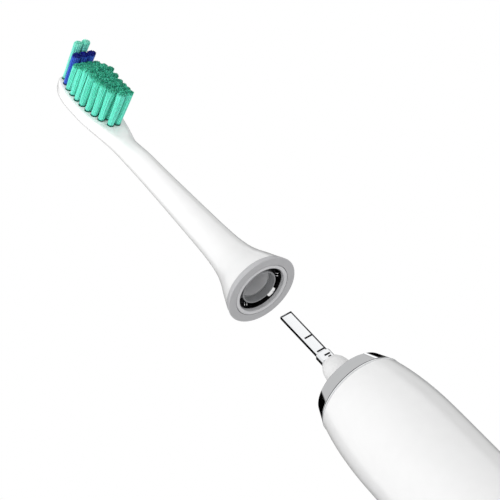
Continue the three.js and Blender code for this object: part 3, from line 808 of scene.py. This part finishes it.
def base_ring():
    """The grey collar: a flat face, a fine groove and a bead round the opening in a paler grey, which is
    painted light.
    """
    top = BASE_RING_HEIGHT - 0.03
    face = [
        (7.28, 0.0, 0.05), (HEAD_RADIUS - 0.15, 0, 0.1), (HEAD_RADIUS, 0.2, 0.15),
        (neck_radius(BASE_RING_HEIGHT) + 0.05, top, 0.12), (7.3, top, 0), (7.28, 0.3, 0),
    ]
    bead = [
        (7.17, 0.3, 0), (7.17, 0.04, 0.1), (6.95, -BEAD, 0.14), (6.5, -BEAD, 0.16), (6.26, 0.1, 0.14),
        (6.26, top, 0), (7.17, top, 0),
    ]
    collar = weighted(lathe("collar", face, COLLAR, HEAD_BASE, 192))
    lip = weighted(lathe("collar_bead", bead, COLLAR_PAINTED_LIGHT, HEAD_BASE, 192))
    return collar, lip


def clip_ring():
    profile = [
        (6.2, 1.0, 0.04), (6.2, 3.38, 0.1), (4.72, 3.38, 0.04), (4.72, 3.2, 0.04), (6.02, 3.2, 0.3),
        (6.02, 1.0, 0.04),
    ]
    return weighted(lathe("clip", profile, CLIP, HEAD_BASE, 144))


def lean_to(turn, shift, width, reach, low):
    """A wedge on the clip's wall that leans in and down at 45 degrees."""
    wall = 6.05
    depth = wall - reach
    bm = bmesh.new()
    for side in (-0.5, 0.5):
        for r, z in ((wall, low), (wall, low + depth + 0.35), (reach, low + depth)):
            bm.verts.new((r, shift + side * width, HEAD_BASE + z))
    bm.verts.ensure_lookup_table()
    v = bm.verts
    for face in ((0, 1, 2), (5, 4, 3), (0, 3, 4, 1), (1, 4, 5, 2), (2, 5, 3, 0)):
        bm.faces.new([v[i] for i in face])
    bmesh.ops.rotate(bm, cent=(0, 0, 0), matrix=Matrix.Rotation(math.radians(turn), 3, "Z"), verts=bm.verts)
    return finish_mesh("tab", bm, TAB_STEEL, 30)


def clip_tabs():
    """Three broad tabs, and three pairs of small prongs between them."""
    pieces = [lean_to(turn, 0, TAB_WIDTH, 5.3, 1.25) for turn in CLIP_TABS]
    for turn in CLIP_PRONGS:
        for side in (-PRONG_SPACING / 2, PRONG_SPACING / 2):
            pieces.append(lean_to(turn, side, PRONG_WIDTH, 5.45, 2.0))
    tabs = pieces[0]
    for piece in pieces[1:]:
        joined(tabs, piece, "UNION")
    tabs.name = "clip_tabs"
    bevelled(tabs, 0.03, 2)
    soften(tabs, 30)
    return tabs


def socket_insert():
    profile = [
        (0, 11), (2.25, 11, 0), (2.25, 9.0, 0.1), (4.3, 8.1, 0.2), (4.3, 1.1, 0.08), (4.62, 1.1, 0.08),
        (4.62, 8.8, 0.2), (2.9, 9.1, 0.1), (2.9, 26, 0.2), (0, 26),
    ]
    insert = lathe("insert", profile, INSERT, 0, 128, closed=False)
    for low, high in (((-1.7, -0.85, 10), (1.7, 0.85, 25.6)), ((-1.1, 0.8, 10), (1.1, 1.2, 22.6))):
        tool = box_tool(low, high)
        tool.data.transform(Matrix.Rotation(BLADE_TURN, 4, "Z"))
        cut(insert, tool)
    insert.data.transform(Matrix.Translation((0, 0, HEAD_BASE * MM)))
    soften(insert, 35)
    return weighted(insert)


def socket_liner():
    """The pale bore inside the insert, which narrows to the blade's slot."""
    profile = [
        (3.86, 2.92, 0.08), (4.28, 2.92, 0.08), (4.28, 8.0, 0.1), (2.27, 8.9, 0.05), (2.27, 8.7, 0.1),
        (3.78, 7.8, 0.6),
    ]
    liner = lathe("liner", profile, LINER, HEAD_BASE, 128)
    # The liner's rim faces at the mouth take the darker insert grey as painted shade, so no lit rim shows.
    liner.data.materials.append(INSERT)
    for face in liner.data.polygons:
        face.material_index = int(face.center.z < (HEAD_BASE + 3.1) * MM)
    return weighted(liner)


# ---------------------------------------------------------------------------------------------
# Assembly


def put(piece, body, slot, *nodes):
    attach(piece, body)
    if nodes:
        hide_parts(*nodes)


def build():
    put(handle_shell(), "handle", "white_shell", "handle_shell")
    put(bottom_cap(), "handle", "white_shell", "bottom_cap")
    put(trim_ring(), "handle", "trim_chrome", "trim_ring")
    put(shaft_boot(), "handle", "white_rubber", "shaft_boot")
    put(power_button(), "button", "soft_white", "power_button")
    put(drive_shaft(), "drive", "shaft_steel", "drive_shaft")
    put(brush_neck(), "brush_head", "white_shell", "brush_neck")
    collar, lip = base_ring()
    put(collar, "brush_head", "collar_grey", "base_ring")
    put(lip, "brush_head", "collar_grey")
    put(clip_ring(), "brush_head", "clip_steel", "clip_ring")
    put(clip_tabs(), "brush_head", "trim_chrome")
    put(socket_insert(), "brush_head", "insert_grey", "socket_insert")
    put(socket_liner(), "brush_head", "white_shell")
    for i, row in enumerate(TUFT_ROWS, 1):
        navy = i == NAVY_ROW
        material = NAVY if navy else PALE_MINT if i == len(TUFT_ROWS) else MINT
        tufts = tuft_row(f"filaments_{i:02d}", row, material, i)
        slot = "navy_bristle" if navy else "mint_bristle"
        put(tufts, "brush_head", slot, f"tuft_row_{i:02d}")
    for node, material in CAD_FINISHES.items():
        mesh = frame["nodes"][node].data
        mesh.materials.clear()
        mesh.materials.append(material)


# ---------------------------------------------------------------------------------------------
# Studio

LAMPS = [  # name, kind, place, aim, size in metres or degrees, watts
    ("key", "AREA", (-0.86, -0.28, 0.52), (0, 0, 0.17), 0.45, 3.9),
    ("fill", "AREA", (0.9, -0.4, 0.3), (0, 0, 0.2), 0.45, 1.6),
    ("head", "SPOT", (-0.7, -0.2, 0.05), (0, -0.01, 0.29), 6.5, 14),
]

AWAY = (0.598, 0.568, 0.565)  # the way the camera looks
GLOSSY_PANELS = [  # direction, half angle inside, half angle outside, level; a later one lies on top
    (AWAY, 12, 24, 0.25),
    ((0.0, -0.82, 0.565), 5, 12, 1.15),  # in the blade's face
    ((0.8, -0.1, 0.565), 20, 32, 0.4),  # in the blade's sloped edges
    ((0.74, -0.37, 0.565), 6, 9, 0.05),
    ((0, 0, 1), 36, 40, 0.61),  # in the middle of the trim ring
    ((0.6, 0.09, 0.8), 6, 8, 1.4),  # in its bright patch
    ((0.65, 0.41, 0.64), 10, 13, 0.0),  # in its right end
    ((0.44, 0.63, 0.64), 35, 38, 0.0),  # in its left end
    ((-0.09, 0.82, 0.565), 16, 20, 0.0),  # in the blade's left side
]
DIFFUSE_LEVEL = 0.65

CAMERA_PLACE = (-0.3628, -0.3508, -0.1351)
CAMERA_RIGHT = (0.7813, -0.2553, -0.5698)
CAMERA_UP = (0.1795, -0.7825, 0.5965)
CAMERA_BACK = (-0.5982, -0.5683, -0.5653)
CAMERA_LENS = 187.2


def camera():
    data = bpy.data.cameras.new("camera")
    data.lens = CAMERA_LENS
    data.sensor_width = 36
    data.clip_start = 0.01
    data.clip_end = 20
    obj = bpy.data.objects.new("camera", data)
    turn = Matrix((CAMERA_RIGHT, CAMERA_UP, CAMERA_BACK)).transposed().to_4x4()
    obj.matrix_world = Matrix.Translation(CAMERA_PLACE) @ turn
    bpy.context.scene.collection.objects.link(obj)
    bpy.context.scene.camera = obj


def floor():
    """A pale floor that is seen from above and lets the view from below through."""
    bm = bmesh.new()
    bmesh.ops.create_grid(bm, x_segments=1, y_segments=1, size=1500)
    n = Nodes("floor_white")
    n.shader.inputs["Base Color"].default_value = (0.86, 0.86, 0.86, 1)
    n.shader.inputs["Roughness"].default_value = 0.7
    clear = n.add("ShaderNodeBsdfTransparent")
    either = n.add("ShaderNodeMixShader")
    n.link(n.add("ShaderNodeNewGeometry").outputs["Backfacing"], either.inputs["Fac"])
    n.link(n.shader.outputs["BSDF"], either.inputs[1])
    n.link(clear.outputs["BSDF"], either.inputs[2])
    n.link(either.outputs["Shader"], n.tree.nodes["Material Output"].inputs["Surface"])
    obj = finish_mesh("floor", bm, n.material)
    obj.location.z = -0.0002


def world():
    """White to the camera, panels of other levels to reflections, and one even level to the rest."""
    made = bpy.data.worlds.new("studio")
    bpy.context.scene.world = made
    made.use_nodes = True
    tree = made.node_tree
    background = tree.nodes["Background"]
    direction = tree.nodes.new("ShaderNodeTexCoord").outputs["Generated"]

    def panel(axis, inner, outer):
        """1 inside a round panel about a direction, 0 outside, soft between the two angles."""
        dot = tree.nodes.new("ShaderNodeVectorMath")
        dot.operation = "DOT_PRODUCT"
        dot.inputs[1].default_value = Vector(axis).normalized()
        tree.links.new(direction, dot.inputs[0])
        fade = tree.nodes.new("ShaderNodeMapRange")
        fade.inputs["From Min"].default_value = math.cos(math.radians(outer))
        fade.inputs["From Max"].default_value = math.cos(math.radians(inner))
        tree.links.new(dot.outputs["Value"], fade.inputs["Value"])
        return fade.outputs["Result"]

    def mixed(factor, first, second):
        node = tree.nodes.new("ShaderNodeMix")
        for socket, value in ((node.inputs[0], factor), (node.inputs[2], first), (node.inputs[3], second)):
            if isinstance(value, float):
                socket.default_value = value
            else:
                tree.links.new(value, socket)
        return node.outputs[0]

    glossy = 1.0
    for axis, inner, outer, level in GLOSSY_PANELS:
        glossy = mixed(panel(axis, inner, outer), glossy, level)
    path = tree.nodes.new("ShaderNodeLightPath")
    seen = mixed(path.outputs["Is Glossy Ray"], DIFFUSE_LEVEL, glossy)
    seen = mixed(path.outputs["Is Camera Ray"], seen, 1.0)
    tree.links.new(seen, background.inputs["Strength"])
    background.inputs["Color"].default_value = (1, 1, 1, 1)


def lamp(name, kind, place, aim, size, watts):
    """A light that shows in no reflection."""
    data = bpy.data.lights.new(name, kind)
    data.energy = watts
    if kind == "AREA":
        data.shape = "DISK"
        data.size = size
    else:
        data.spot_size = math.radians(size)
        data.spot_blend = 0.8
        data.shadow_soft_size = 0.05
    obj = bpy.data.objects.new(name, data)
    obj.visible_glossy = False
    towards = (Vector(place) - Vector(aim)).to_track_quat("Z", "Y")
    obj.matrix_world = Matrix.Translation(place) @ towards.to_matrix().to_4x4()
    bpy.context.scene.collection.objects.link(obj)


camera()
floor()
world()
for values in LAMPS:
    lamp(*values)
build()

bpy.context.scene.view_settings.view_transform = "Standard"
bpy.context.scene.view_settings.look = "None"
